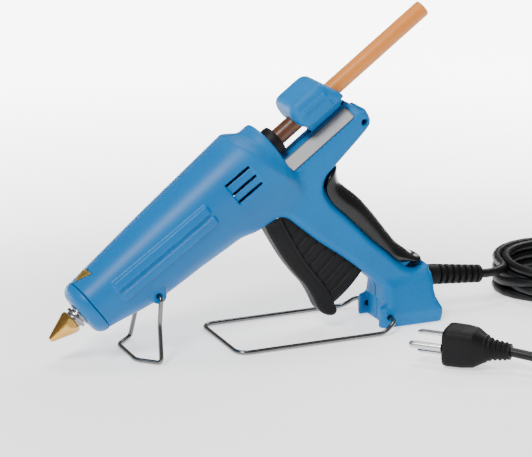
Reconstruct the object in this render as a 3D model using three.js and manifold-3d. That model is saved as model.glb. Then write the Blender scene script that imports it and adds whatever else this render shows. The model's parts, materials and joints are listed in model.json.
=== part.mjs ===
// Hot melt glue gun standing on its folding wire stands, with its mains cord and plug.
// Millimetres. +X runs from the nozzle back to the handle, +Z is up, the left side is -Y.
import * as THREE from 'three';
import { mergeVertices } from 'three/addons/utils/BufferGeometryUtils.js';
import Module from 'manifold-3d';

const wasm = await Module();
wasm.setup();

// Driving dimensions
const gap = 0.3; // clearance between pieces that touch
const overallLength = 272.4; // nozzle tip to the heel of the base
const tilt = THREE.MathUtils.degToRad(36.7); // barrel axis above the floor
const tipHeight = 16.5; // nozzle tip above the floor
const stickDiameter = 11.4;
const stickEnd = 326.8; // distance from the nozzle tip, along the barrel axis
const noseRadius = 19; // barrel at its front end
const barrelRadius = 26.2; // barrel at its widest
const barrelStart = 34.3;
const barrelEnd = 189;
const wall = 2.4;
const bodyHalfWidth = 14; // rear body and handle
const baseHalfWidth = 21.3;
const wireDiameter = 3;
const standHalfWidth = 32.3; // rear stand, to the middle of its wire
const standReach = 114.5; // rear stand, hinge to front bar
const crankLength = 18; // trigger pin to the end of its crank, in the drive bar
const cordDiameter = 6.2;

const stickRadius = stickDiameter / 2;
const wireRadius = wireDiameter / 2;

// Solids

// A closed three.js geometry as a manifold solid, with its faces pointing out.
function solidOf(geometry) {
  const bare = geometry.clone();
  bare.deleteAttribute('normal');
  bare.deleteAttribute('uv');
  const merged = mergeVertices(bare, 1e-4);
  const position = merged.attributes.position.array;
  const corners = [];
  let volume = 0;
  const a = new THREE.Vector3();
  const b = new THREE.Vector3();
  const c = new THREE.Vector3();
  for (let i = 0; i < merged.index.count; i += 3) {
    const [p, q, r] = merged.index.array.slice(i, i + 3);
    if (p === q || q === r || r === p) continue;
    corners.push(p, q, r);
    a.fromArray(position, 3 * p);
    b.fromArray(position, 3 * q);
    c.fromArray(position, 3 * r);
    volume += a.dot(b.cross(c));
  }
  if (volume < 0) corners.reverse();
  return new wasm.Manifold(new wasm.Mesh({
    numProp: 3,
    vertProperties: Float32Array.from(position),
    triVerts: Uint32Array.from(corners),
  }));
}

function geometryOf(solid) {
  const mesh = solid.getMesh();
  const geometry = new THREE.BufferGeometry();
  geometry.setAttribute('position', new THREE.BufferAttribute(Float32Array.from(mesh.vertProperties), 3));
  geometry.setIndex(new THREE.BufferAttribute(Uint32Array.from(mesh.triVerts), 1));
  geometry.computeVertexNormals();
  return geometry;
}

function joined(...solids) {
  return solids.reduce((whole, solid) => whole.add(solid));
}

function cutBy(solid, ...tools) {
  return tools.reduce((rest, tool) => rest.subtract(tool), solid);
}

// Outline points [x, z] in the side view, extruded to both sides of the middle plane.
function sidePlate(outline, halfWidth, bevel = 0, middle = 0) {
  const shape = new THREE.Shape(outline.map(([x, z]) => new THREE.Vector2(x, z)));
  const geometry = new THREE.ExtrudeGeometry(shape, {
    depth: 2 * (halfWidth - bevel),
    bevelEnabled: bevel > 0,
    bevelThickness: bevel,
    bevelSize: bevel,
    bevelOffset: -bevel,
    bevelSegments: 2,
    steps: 1,
  });
  return geometry.rotateX(Math.PI / 2).translate(0, halfWidth - bevel + middle, 0);
}

// Solid of revolution about X from profile points [x, radius].
function turned(profile, segments = 20) {
  const points = profile.map(([x, radius]) => new THREE.Vector2(radius, x));
  return new THREE.LatheGeometry(points, segments).rotateZ(-Math.PI / 2);
}

// Ring of revolution about X: the profile closes on itself.
function turnedRing(profile, segments = 20) {
  return turned([...profile, profile[0]], segments);
}

function box(x0, x1, y0, y1, z0, z1) {
  return new THREE.BoxGeometry(x1 - x0, y1 - y0, z1 - z0)
    .translate((x0 + x1) / 2, (y0 + y1) / 2, (z0 + z1) / 2);
}

// Cylinder along Y.
function crossPin(radius, x, z, y0, y1, segments = 16) {
  return new THREE.CylinderGeometry(radius, radius, y1 - y0, segments)
    .translate(x, (y0 + y1) / 2, z);
}

// Round bar along a curve, closed at both ends.
function bar(points, radius, steps, sides = 8) {
  const list = points.map((p) => new THREE.Vector3(...p));
  const path = new THREE.CatmullRomCurve3(list, false, 'centripetal');
  const section = new THREE.Shape();
  for (let i = 0; i < sides; i++) {
    const angle = (2 * Math.PI * (i + 0.5)) / sides;
    const x = radius * Math.cos(angle);
    const y = radius * Math.sin(angle);
    if (i === 0) section.moveTo(x, y);
    else section.lineTo(x, y);
  }
  return new THREE.ExtrudeGeometry(section, { steps, bevelEnabled: false, extrudePath: path });
}

// Materials

function material(colour, roughness, metalness = 0) {
  return new THREE.MeshStandardMaterial({ color: colour, roughness, metalness });
}

const looks = {
  shell: material(0x1e96d2, 0.38),
  black: material(0x17181a, 0.45),
  gloss: material(0x101113, 0.16),
  brass: material(0xc9a03c, 0.28, 1),
  steel: material(0xb9bcc0, 0.25, 1),
  aluminium: material(0xaeb3b8, 0.4, 1),
  glue: material(0xd39a55, 0.35),
  label: material(0xb4b8bd, 0.4, 0.6),
  gold: material(0xc8962c, 0.35, 0.8),
  mica: material(0xc9bda0, 0.7),
  ceramic: material(0xe6e2d8, 0.6),
};

const gun = new THREE.Group();
gun.position.x = -overallLength / 2;

// Everything on the barrel axis lives in a group tilted with it: x along the axis from the
// nozzle tip, z square to it.
const barrelLine = new THREE.Group();
barrelLine.position.z = tipHeight;
barrelLine.rotation.y = -tilt;
gun.add(barrelLine);
barrelLine.updateMatrix();

function add(parent, name, solid, look) {
  const mesh = new THREE.Mesh(geometryOf(solid), look.clone());
  mesh.name = name;
  parent.add(mesh);
  return mesh;
}

// The same barrel-axis geometry expressed in the gun's own frame.
function tilted(geometry) {
  return geometry.applyMatrix4(barrelLine.matrix);
}

// A side-view point on the barrel axis, as [x, z] in the gun's own frame.
function fromAxis(along, up) {
  return [
    along * Math.cos(tilt) - up * Math.sin(tilt),
    tipHeight + along * Math.sin(tilt) + up * Math.cos(tilt),
  ];
}

// Value at x in a table of [x, value] pairs, held at both ends.
function between(table, x) {
  const after = table.findIndex((pair) => pair[0] >= x);
  if (after === 0) return table[0][1];
  if (after < 0) return table[table.length - 1][1];
  const [x0, low] = table[after - 1];
  const [x1, high] = table[after];
  return low + ((high - low) * (x - x0)) / (x1 - x0);
}

// Barrel shell: round above the axis, deeper below it towards the handle.
const barrelDepth = [
  [barrelStart, 1], [54, 1.22], [66, 1.33], [104, 1.345], [126, 1.395], [155, 1.43], [barrelEnd, 1.12],
];

function barrelShape(inset, start, end) {
  const profile = [
    [barrelStart, noseRadius], [46, 19.8], [70, 21.3], [97, 22.9], [130, 24.3], [152, 25.3],
    [164, barrelRadius], [169, 25.6], [174, 22.6], [178, 20], [184, 19.4], [barrelEnd, 18.6],
  ];
  const kept = profile.filter(([x]) => x > start && x < end);
  const full = [[start, between(profile, start)], ...kept, [end, between(profile, end)]];
  const geometry = turned([
    [start, 0],
    ...full.map(([x, radius]) => [x, radius - inset]),
    [end, 0],
  ], 32);
  const position = geometry.attributes.position;
  for (let i = 0; i < position.count; i++) {
    const x = position.getX(i);
    const z = position.getZ(i);
    if (z >= 0) continue;
    position.setZ(i, z * between(barrelDepth, x));
  }
  return geometry;
}

// Side view of the rear body, rail, hanging lug and handle.
const lugCentre = fromAxis(248.5, -32.5);
const pivot = fromAxis(163, -36);

// Back edge of the handle, where the grip pad sits, from the heel up.
const padSeat = [
  fromAxis(211, -129),
  fromAxis(208.6, -121),
  fromAxis(207, -110.4),
  fromAxis(203.7, -96.7),
  fromAxis(201.7, -83),
  fromAxis(199.7, -69.5),
  fromAxis(197.3, -57.6),
  fromAxis(197.7, -49.3),
  fromAxis(200, -44),
  fromAxis(205.6, -39.8),
  fromAxis(215.2, -38.4),
];

const bodyOutline = [
  fromAxis(140, -28),
  fromAxis(146, -34.6),
  fromAxis(154, -34.9),
  fromAxis(162, -36.4),
  fromAxis(167, -39),
  fromAxis(168.5, -44),
  fromAxis(171.5, -57),
  fromAxis(175.5, -73),
  fromAxis(181.5, -92),
  fromAxis(186.8, -112),
  [224.5, 31.5],
  [230, 26.5],
  [231.4, 21],
  [231.4, 4],
  [262, 4],
  [267, 20],
  [266.6, 26],
  [265.2, 34.5],
  [263, 39],
  [259.2, 38.2],
  [256, 37],
  [251.6, 37.2],
  ...padSeat,
  fromAxis(230, -37),
  fromAxis(243, -35.4),
  fromAxis(250, -21.5),
  fromAxis(186, -21.5),
  fromAxis(180, -12),
  fromAxis(150, -12),
];

const handleCore = [
  fromAxis(190, -45), fromAxis(190, -60), fromAxis(194, -90), fromAxis(199, -118), fromAxis(212, -130.5),
  fromAxis(219, -132), fromAxis(214.5, -114), fromAxis(213.7, -88), fromAxis(212.6, -66),
  fromAxis(207.5, -52),
  fromAxis(204, -45.5),
];

const baseOutline = [
  [231.2, 28], [231.2, 15.5], [226.2, 14], [225.6, 0], [268.4, 0], [overallLength, 3], [overallLength, 9],
  [269.4, 13.5], [266.9, 20], [266.6, 27], [264, 31],
];

// Lofted half-width of the base: widest at a crease above the floor, tapering up into the handle.
function baseWidth(z) {
  if (z < 9) return THREE.MathUtils.mapLinear(z, 0, 9, 20.2, baseHalfWidth);
  return Math.max(14.4, THREE.MathUtils.mapLinear(z, 9, 31, baseHalfWidth, 14.6));
}

function widened(geometry, halfWidth, widthAt) {
  const position = geometry.attributes.position;
  for (let i = 0; i < position.count; i++) {
    position.setY(i, (position.getY(i) * widthAt(position.getZ(i))) / halfWidth);
  }
  return geometry;
}

// Rail under the feed carriage: narrow on top, its label face sloping out to the body's width.
function railShape() {
  const section = new THREE.Shape([
    new THREE.Vector2(-bodyHalfWidth + 0.5, -24),
    new THREE.Vector2(bodyHalfWidth - 0.5, -24),
    new THREE.Vector2(bodyHalfWidth - 0.5, -20.6),
    new THREE.Vector2(5.6, -12.3),
    new THREE.Vector2(-5.6, -12.3),
    new THREE.Vector2(-bodyHalfWidth + 0.5, -20.6),
  ]);
  const geometry = new THREE.ExtrudeGeometry(section, { depth: 75, bevelEnabled: false, steps: 1 });
  // section x to Y, section y to Z, depth to X
  const basis = new THREE.Matrix4().makeBasis(
    new THREE.Vector3(0, 1, 0), new THREE.Vector3(0, 0, 1), new THREE.Vector3(1, 0, 0));
  return geometry.applyMatrix4(basis).translate(175, 0, 0);
}

const bailPivot = [68.5, 42.3];
const standPivot = [231.6, 7.6];
const screwPlaces = [
  fromAxis(124, -24.5),
  fromAxis(152, -22.5),
  fromAxis(182, -27),
  fromAxis(226, -28),
  fromAxis(192.5, -52),
  [254, 13],
];

// Side view of a sector about the trigger's pin: an arc, and an upper edge of [radius, angle] pairs.
function sector(radius, from, to, edge, count = 8) {
  const points = [pivot];
  for (let i = 0; i <= count; i++) {
    const angle = THREE.MathUtils.degToRad(from + ((to - from) * i) / count);
    points.push([pivot[0] + radius * Math.cos(angle), pivot[1] + radius * Math.sin(angle)]);
  }
  for (const [reach, degrees] of edge) {
    const angle = THREE.MathUtils.degToRad(degrees);
    points.push([pivot[0] + reach * Math.cos(angle), pivot[1] + reach * Math.sin(angle)]);
  }
  return points;
}

const sectorRadius = 80.6;
const slotHalfWidth = 8;

function housing() {
  const outer = joined(
    solidOf(tilted(barrelShape(0, barrelStart, barrelEnd))),
    solidOf(sidePlate(bodyOutline, bodyHalfWidth, 3)),
    solidOf(tilted(railShape())),
    solidOf(sidePlate(handleCore, 10)),
    solidOf(widened(sidePlate(baseOutline, 20, 2.5), 20, baseWidth)),
    solidOf(crossPin(5.4, bailPivot[0], bailPivot[1], -17.4, 17.4, 20)),
    solidOf(crossPin(6.3, lugCentre[0], lugCentre[1], -4, 4, 20)),
    ...[-1, 1].flatMap((side) => ribs(side)),
  );
  const inside = joined(
    solidOf(tilted(barrelShape(wall, barrelStart, 184.5))),
    solidOf(tilted(turned([[barrelStart - 2, 0], [barrelStart - 2, 16.4], [44, 16.4], [44, 0]]))),
  );
  const barrelFloor = solidOf(tilted(box(36, 190, -40, 40, -60, -21.5)));
  const room = joined(
    inside.subtract(barrelFloor),
    // slot for the trigger, from the crank down through the handle
    solidOf(sidePlate(
      sector(sectorRadius + 1.2, -80, -16.5, [[42, -14.2], [27, -9.6], [18, -3]]), slotHalfWidth)),
    solidOf(crossPin(11.5, pivot[0], pivot[1], -slotHalfWidth, slotHalfWidth, 20)),
    solidOf(tilted(box(146, 172, -3.4, 3.4, -40, -14.3))),
    // channel for the drive bar, and the slot its web slides in
    solidOf(tilted(box(140, 246, -2.9, 2.9, -20.2, -14.3))),
    solidOf(tilted(box(216.2, 246, -1.9, 1.9, -15, -10))),
    // cord entry, clamp and terminal room in the base
    solidOf(box(234.5, 262, -11, 11, 17, 30.5)),
    solidOf(cordEntry(7.6, 255, 280)),
  );
  const openings = [
    solidOf(tilted(turned([[180, 0], [180, 8.5], [192, 8.5], [192, 0]]))),
    ...ventSlots().map((slot) => solidOf(tilted(slot))),
    solidOf(crossPin(2.2, lugCentre[0], lugCentre[1], -10, 10, 16)),
    ...[-1, 1].map((side) => solidOf(crossPin(wireRadius + gap, ...bailPivot, ...ends(side, 10, 30), 12))),
    ...[-1, 1].map((side) => solidOf(crossPin(wireRadius + gap, ...standPivot, ...ends(side, 13.4, 30), 12))),
    solidOf(box(220, 231, -15, 15, -1, 15.5)),
    solidOf(crossPin(2 + gap, pivot[0], pivot[1], -12.6, 12.6, 16)),
    ...screwPlaces.map((place) => solidOf(crossPin(1.5 + gap, ...place, -9.5, 40, 10))),
    ...screwPlaces.map((place) => solidOf(crossPin(3 + gap, ...place, 10.4, 40, 12))),
    solidOf(tilted(labelSolid(gap))),
    badgeSolid(gap).transform(barrelLine.matrix.elements),
  ];
  return cutBy(outer, room, ...openings);
}

function ends(side, near, far) {
  return side < 0 ? [-far, -near] : [near, far];
}

// Two raised ribs run along each side of the barrel.
function ribs(side) {
  return [[5.4, 4.6], [-2.4, 4.2]].map(([middle, height]) => {
    const rib = box(52, 129, ...ends(side, 12, 24.1), middle - height / 2, middle + height / 2);
    const position = rib.attributes.position;
    for (let i = 0; i < position.count; i++) {
      if (Math.abs(position.getY(i)) < 20) continue;
      const outside = THREE.MathUtils.mapLinear(position.getX(i), 52, 129, 20.9, 24.9);
      position.setY(i, side * outside);
    }
    return solidOf(tilted(rib));
  });
}

// Three cooling slots on each side, where the barrel is widest.
function ventSlots() {
  const slots = [];
  for (const side of [-1, 1]) {
    for (let i = 0; i < 3; i++) {
      const middle = 8.4 - 6.6 * i;
      slots.push(box(147.5, 166.5, ...ends(side, 15, 32), middle - 1.5, middle + 1.5));
    }
  }
  return slots;
}

function cordEntry(radius, from, to) {
  const start = [from, 0, 27.6 - (from - 268) * 0.11];
  const finish = [to, 0, 27.6 - (to - 268) * 0.11];
  return bar([start, finish], radius, 1, 16);
}

// Thin plate let into the sloping side of the rail.
function labelSolid(grow) {
  const outline = new THREE.Shape([
    new THREE.Vector2(187 - grow, -5 - grow),
    new THREE.Vector2(244 + grow, -5 - grow),
    new THREE.Vector2(244 + grow, 5 + grow),
    new THREE.Vector2(187 - grow, 5 + grow),
  ]);
  const plate = new THREE.ExtrudeGeometry(outline, { depth: 1.2 + grow, bevelEnabled: false });
  // the sloping face runs from the rail's top edge out to the body's side
  const down = new THREE.Vector3(0, -(bodyHalfWidth - 0.5 - 5.6), -8.3).normalize();
  const out = new THREE.Vector3(0, down.z, -down.y);
  const basis = new THREE.Matrix4().makeBasis(new THREE.Vector3(1, 0, 0), down.clone().negate(), out);
  plate.translate(0, 0, -0.6 - grow);
  return plate.applyMatrix4(basis).translate(0, -(bodyHalfWidth + 5.1) / 2 - 0.15, -16.4);
}

// Plain three-cornered badge let into the top of the barrel by the nose, and the seat for it.
function badgeSolid(grow) {
  const outline = new THREE.Shape([
    new THREE.Vector2(36.4 - 2.2 * grow, 0),
    new THREE.Vector2(47 + grow, -6.3 - 1.6 * grow),
    new THREE.Vector2(47 + grow, 6.3 + 1.6 * grow),
  ]);
  const wedge = new THREE.ExtrudeGeometry(outline, { depth: 14, bevelEnabled: false }).translate(0, 0, 12);
  const top = grow > 0 ? -2 : -0.35;
  return solidOf(wedge)
    .intersect(solidOf(barrelShape(top, barrelStart, 60)))
    .subtract(solidOf(barrelShape(0.55 + grow, barrelStart - 1, 62)));
}

// Points moved sideways off their own line, to leave a gap.
function shifted(points, distance, closed = false) {
  const count = points.length;
  return points.map(([x, z], i) => {
    const before = points[closed ? (i + count - 1) % count : Math.max(i - 1, 0)];
    const after = points[closed ? (i + 1) % count : Math.min(i + 1, count - 1)];
    const dx = after[0] - before[0];
    const dz = after[1] - before[1];
    const length = Math.hypot(dx, dz);
    return [x + (distance * dz) / length, z - (distance * dx) / length];
  });
}

// Parts on the barrel axis

function nozzle() {
  const cone = turned([[0, 0], [0, 1.4], [0.5, 1.9], [17.6, 8.3], [18.4, 8.1], [19.4, 6.9], [19.4, 0]], 24);
  const hexagon = new THREE.CylinderGeometry(8, 8, 21, 6).rotateZ(-Math.PI / 2).translate(9.5, 0, 0);
  const bore = turned([[-1, 0], [-1, 0.8], [5, 0.8], [11, 3], [20, 3], [20, 0]], 12);
  return cutBy(solidOf(cone).intersect(solidOf(hexagon)), solidOf(bore));
}

function meltChamber() {
  const lobe = (side, radius, x0, x1) => solidOf(
    new THREE.CylinderGeometry(radius, radius, x1 - x0, 16)
      .rotateZ(Math.PI / 2).translate((x0 + x1) / 2, side * 5.6, -9.4));
  return cutBy(
    joined(
      solidOf(turned([[40, 0], [40, 10.5], [110, 10.5], [110, 0]], 24)),
      lobe(-1, 4.6, 46, 104),
      lobe(1, 4.6, 46, 104),
    ),
    solidOf(turned([[48, 0], [48, stickRadius + 0.5], [112, stickRadius + 0.5], [112, 0]], 20)),
    solidOf(turned([[38, 0], [38, 3], [49, 3], [49, 0]], 12)),
    lobe(-1, 3.3, 49, 112),
    lobe(1, 3.3, 49, 112),
  );
}

function heater(side) {
  const rod = new THREE.CylinderGeometry(3, 3, 56, 12).rotateZ(Math.PI / 2);
  return solidOf(rod.translate(79, side * 5.6, -9.4));
}

// Coil spring along X, its turns made in a loop.
function spring(x0, x1, radius, wire, turns, lift = 0) {
  const points = [];
  const steps = turns * 8;
  for (let i = 0; i <= steps; i++) {
    const angle = (2 * Math.PI * i) / 8;
    points.push([
      x0 + ((x1 - x0) * i) / steps,
      radius * Math.cos(angle),
      lift + radius * Math.sin(angle),
    ]);
  }
  return bar(points, wire, steps, 6);
}

// Blue block that grips the stick and slides along the rail.
function carriage() {
  const outline = [
    [210.8, 3], [210.6, 10], [211.8, 14.2], [215, 16.4], [234.8, 16.4], [238.6, 14.8], [241, 10],
    [246.6, -3.2], [216.4, -3.2], [212.8, -1.2],
  ];
  const saddle = [[216.6, -8.2], [243.8, -8.2], [245.6, -2], [215.6, -2]];
  const keel = [[217, -11.9], [243.2, -11.9], [244, -7], [216.4, -7]];
  return cutBy(
    joined(
      solidOf(sidePlate(outline, 16, 4)), solidOf(sidePlate(saddle, 8.6)), solidOf(sidePlate(keel, 4.6)),
    ),
    solidOf(turned([[200, 0], [200, stickRadius + 0.4], [250, stickRadius + 0.4], [250, 0]], 20)),
    solidOf(box(219, 235, -5, 5, 3, 11.5)),
    solidOf(box(221.7, 239.3, -1.9, 1.9, -13, -8)),
  );
}

function driveBar() {
  return cutBy(
    joined(
      solidOf(box(152, 240, -2.5, 2.5, -19.7, -14.8)),
      solidOf(box(222, 239, -1.6, 1.6, -15.2, -8.3)),
    ),
    solidOf(box(160.6, 165.4, -3, 3, -21, -15.7)),
  );
}

const shell = housing();
const leftSide = solidOf(box(-20, 300, -80, -gap / 2, -20, 260));
const rightSide = solidOf(box(-20, 300, gap / 2, 80, -20, 260));
add(gun, 'housing_left', shell.intersect(leftSide), looks.shell);
add(gun, 'housing_right', shell.intersect(rightSide), looks.shell);
add(barrelLine, 'label_plate', solidOf(labelSolid(0)), looks.label);
add(barrelLine, 'badge', badgeSolid(0), looks.gold);
add(barrelLine, 'nose_cap', solidOf(turnedRing([
  [25.2, 8.6], [25.2, 12], [26.2, 15.8], [28.6, 18.1], [barrelStart - gap, noseRadius + 0.1],
  [barrelStart - gap, 16.6], [30.8, 15.2], [29, 12.6], [29, 8.6],
], 32)), looks.shell);
add(barrelLine, 'nozzle', nozzle(), looks.brass);
add(barrelLine, 'valve_body', solidOf(turnedRing([
  [19.7, 3], [19.7, 6.2], [21, 6.2], [21, 7.6], [23.2, 7.6], [23.2, 5.6], [24.2, 5.6], [24.2, 7.6],
  [25.7, 7.6], [25.7, 6], [39.7, 6], [39.7, 1.8], [36.4, 1.8], [35.4, 3],
])), looks.steel);
const ball = new THREE.SphereGeometry(2.4, 12, 8).translate(32.6, 0, 0);
add(barrelLine, 'valve_ball', solidOf(ball), looks.steel);
add(barrelLine, 'valve_spring', solidOf(spring(20.6, 28.4, 2.3, 0.3, 4)), looks.steel);
add(barrelLine, 'melt_chamber', meltChamber(), looks.aluminium);
add(barrelLine, 'heater_left', heater(-1), looks.ceramic);
add(barrelLine, 'heater_right', heater(1), looks.ceramic);
add(barrelLine, 'heat_shield', solidOf(turnedRing([[50, 16.1], [50, 16.8], [104, 16.8], [104, 16.1]], 32)),
  looks.mica);
add(barrelLine, 'thermal_switch', solidOf(
  new THREE.CylinderGeometry(4, 4, 3.6, 16).rotateX(Math.PI / 2).translate(98, 0, 12.7)), looks.ceramic);
add(barrelLine, 'inlet_sleeve', solidOf(turnedRing([
  [111, stickRadius + 0.5], [111, 8.1], [barrelEnd + gap, 8.1], [barrelEnd + gap, 10], [194.6, 10],
  [196.6, 8.8], [196.6, stickRadius + 0.5],
])), looks.black);
add(barrelLine, 'glue_stick', solidOf(turned([
  [70, 0], [70, stickRadius], [stickEnd, stickRadius], [stickEnd, 0],
], 20)), looks.glue);
add(barrelLine, 'feed_carriage', carriage(), looks.shell);
add(barrelLine, 'gripper_jaw', solidOf(sidePlate([
  [221, 6.1], [230.6, 6.1], [230.6, 9.4], [221, 11],
], 4.4)), looks.steel);
add(barrelLine, 'gripper_spring', solidOf(spring(231.4, 234.2, 1.5, 0.3, 2, 7.9)), looks.steel);
add(barrelLine, 'drive_bar', driveBar(), looks.black);

// Trigger

function trigger() {
  const lever = [
    [146.4, 82], [148.6, 73.5], [153.8, 63.9], [161.4, 51.4], [169.7, 40.3], [176.9, 31.8], [182.1, 22.8],
    [185.8, 15.3], [190.2, 11.2], [195.4, 9.2], [198.6, 10.6], [199.2, 14], [194.6, 22.2], [190.6, 28.9],
    [184, 37.1], [175.2, 48.2], [168, 59.7], [160.7, 73.2], [157, 80.3],
  ];
  const crank = [
    fromAxis(160.2, -36), fromAxis(165.8, -36), fromAxis(164.6, -36 + crankLength - 1.5),
    fromAxis(161.4, -36 + crankLength - 1.5),
  ];
  const crankTip = fromAxis(163, -36 + crankLength);
  return cutBy(
    joined(
      solidOf(sidePlate(lever, 7.4, 1.8)),
      solidOf(sidePlate(sector(sectorRadius, -56, -34.5, [[38, -32.6], [24, -28.6], [15, -23]], 6), 6.6)),
      solidOf(crossPin(7, pivot[0], pivot[1], -7.4, 4.6, 20)),
      solidOf(sidePlate(crank, 2.2)),
      solidOf(crossPin(2, crankTip[0], crankTip[1], -2.2, 2.2, 12)),
    ),
    solidOf(crossPin(2 + gap, pivot[0], pivot[1], -10, 10, 16)),
    solidOf(crossPin(7.6, pivot[0], pivot[1], 4.6, 10, 20)),
  );
}

function triggerSpring() {
  const points = [];
  for (let i = 0; i <= 18; i++) {
    const angle = (2 * Math.PI * i) / 8;
    points.push([pivot[0] + 4.2 * Math.cos(angle), 5.5 + 0.09 * i, pivot[1] + 4.2 * Math.sin(angle)]);
  }
  return bar(points, 0.4, 18, 6);
}

add(gun, 'trigger', trigger(), looks.black);
add(gun, 'trigger_pin', solidOf(crossPin(2, pivot[0], pivot[1], -12.2, 12.2, 16)), looks.steel);
add(gun, 'trigger_spring', solidOf(triggerSpring()), looks.steel);

// Grip pad: wraps the narrow core of the handle.

const padBack = [
  fromAxis(219, -40.4), fromAxis(214, -46), fromAxis(212, -51), fromAxis(213, -58.5),
  fromAxis(214.6, -65), fromAxis(216.4, -73.5), fromAxis(217.2, -87), fromAxis(217.8, -103.6),
  fromAxis(218.2, -113.6), fromAxis(220.4, -122), [255.2, 45.8], [259, 44.4], [261.8, 41.8],
];
const padFront = shifted([[262.2, 39.1], [259.2, 38.2], [256, 37], [251.6, 37.2], ...padSeat], 0.45);
add(gun, 'grip_pad', cutBy(
  solidOf(sidePlate([...padBack, ...padFront], 14.4, 1)),
  solidOf(sidePlate(shifted(handleCore, 0.4, true), 10.4)),
), looks.gloss);

// Folding stands, bent from round wire

function mirrored(half) {
  return [...half, ...half.map(([x, y, z]) => [x, -y, z]).reverse()];
}

const standBack = standPivot[0] - 9.6;
const standFront = standPivot[0] - standReach;
add(gun, 'rear_stand', solidOf(bar(mirrored([
  [standPivot[0], -14, standPivot[1]],
  [standPivot[0], -20, standPivot[1]],
  [standPivot[0], -25.4, standPivot[1]],
  [standPivot[0] - 1.4, -28.6, standPivot[1] - 0.8],
  [standPivot[0] - 5.4, -31.2, 3.6],
  [standBack, -standHalfWidth, wireRadius + 0.2],
  [standBack - 7, -standHalfWidth, wireRadius],
  [standBack - 45, -standHalfWidth, wireRadius],
  [standFront + 11, -standHalfWidth, wireRadius],
  [standFront + 4.4, -standHalfWidth + 2.4, wireRadius],
  [standFront + 0.8, -standHalfWidth + 7.6, wireRadius],
  [standFront, -standHalfWidth + 14, wireRadius],
  [standFront, -6, wireRadius],
]), wireRadius, 62)), looks.steel);
add(gun, 'front_bail', solidOf(bar(mirrored([
  [bailPivot[0], -11.6, bailPivot[1]],
  [bailPivot[0], -17.6, bailPivot[1]],
  [bailPivot[0], -20, bailPivot[1] - 1.4],
  [bailPivot[0] - 0.2, -20.8, bailPivot[1] - 5],
  [67.6, -20.9, 31],
  [66.9, -21.6, 25],
  [65.7, -26, 10.5],
  [64.9, -28.6, 3.6],
  [63.2, -28.4, 1.6],
  [60, -25.6, wireRadius],
  [54.6, -19.6, wireRadius],
  [52.6, -16, wireRadius],
  [52.1, -12, wireRadius],
  [52.1, -4, wireRadius],
]), wireRadius, 50)), looks.steel);

// Screws, driven in from the right side

screwPlaces.forEach((place, i) => {
  add(gun, `screw_${i + 1}`, joined(
    solidOf(crossPin(1.5, ...place, -9.2, 11, 8)),
    solidOf(crossPin(3, ...place, 10.7, 12.6, 10)),
  ), looks.steel);
});

// Mains connection in the base

const reliefSlope = Math.atan(0.11);
const reliefEnd = 309.6;
add(gun, 'strain_relief', solidOf(turned([
  [-5.6, 0], [-5.6, 7.1], [5, 7.1], [reliefEnd - 268, 6.3], [reliefEnd - 268, 0],
], 16)), looks.black).position.set(268, 0, 27.6);
gun.children.at(-1).rotation.y = reliefSlope;
add(gun, 'cord_clamp', solidOf(box(253.6, 259, -8.4, 8.4, 18, 25)), looks.ceramic);
add(gun, 'terminal_block', solidOf(box(237, 250, -8.4, 8.4, 18.4, 26)), looks.ceramic);

// Mains cord, its coil and its plug

const coilCentre = [376, 12];
const coilOuter = 45;
const coilInner = 29.5;
const coilHeight = 26.6;
const plugTip = [220.6, -83.4, 13.2];
const plugTurn = THREE.MathUtils.degToRad(-45.2);
const plugLength = 62;

function plugPoint(along) {
  return [
    plugTip[0] + along * Math.cos(plugTurn),
    plugTip[1] + along * Math.sin(plugTurn),
    plugTip[2],
  ];
}

const cordStart = reliefEnd + 0.35;
const cordStartHeight = 27.6 - (cordStart - 268) * 0.11;
add(gun, 'power_cord', solidOf(bar([
  [cordStart, 0, cordStartHeight],
  [316, 0, 22.1],
  [322, 0.6, 21.4],
  [327.4, 2.2, 21.6],
], cordDiameter / 2, 6, 10)), looks.black);
add(gun, 'cord_coil', solidOf(new THREE.LatheGeometry([
  [coilInner, 0.2], [coilOuter - 3, 0.2], [coilOuter, 3.5], [coilOuter, coilHeight - 4],
  [coilOuter - 4, coilHeight], [coilInner + 3, coilHeight], [coilInner, coilHeight - 4], [coilInner, 0.2],
].map(([radius, z]) => new THREE.Vector2(radius, z)), 24)
  .rotateX(Math.PI / 2).translate(...coilCentre, 0)), looks.black);
add(gun, 'plug_cord', solidOf(bar([
  [416.2, -24, 3.3],
  [418.6, -46, 3.3],
  [414, -82, 3.3],
  [394, -116, 3.3],
  [360, -142, 3.3],
  [322, -160, 3.3],
  [297, -157, 5],
  [278.4, -141.4, 11],
  plugPoint(plugLength + 0.35),
], cordDiameter / 2, 30, 10)), looks.black);

const plug = new THREE.Group();
plug.position.set(...plugTip);
plug.rotation.z = plugTurn;
gun.add(plug);

function plugBody() {
  const height = 12.8;
  const width = 12;
  const round = 5;
  const section = new THREE.Shape();
  section.moveTo(-width + round, -height);
  section.lineTo(width - round, -height);
  section.lineTo(width, -height + round);
  section.lineTo(width, height - round);
  section.lineTo(width - round, height);
  section.lineTo(-width + round, height);
  section.lineTo(-width, height - round);
  section.lineTo(-width, -height + round);
  const block = new THREE.ExtrudeGeometry(section, { depth: 23, bevelEnabled: false })
    .applyMatrix4(new THREE.Matrix4().makeBasis(
      new THREE.Vector3(0, 1, 0), new THREE.Vector3(0, 0, 1), new THREE.Vector3(1, 0, 0)))
    .translate(18.9, 0, 0);
  return joined(
    solidOf(block),
    solidOf(turned([[40, 0], [40, 10.5], [50, 7], [plugLength, 5], [plugLength, 0]], 16)),
  );
}

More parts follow.
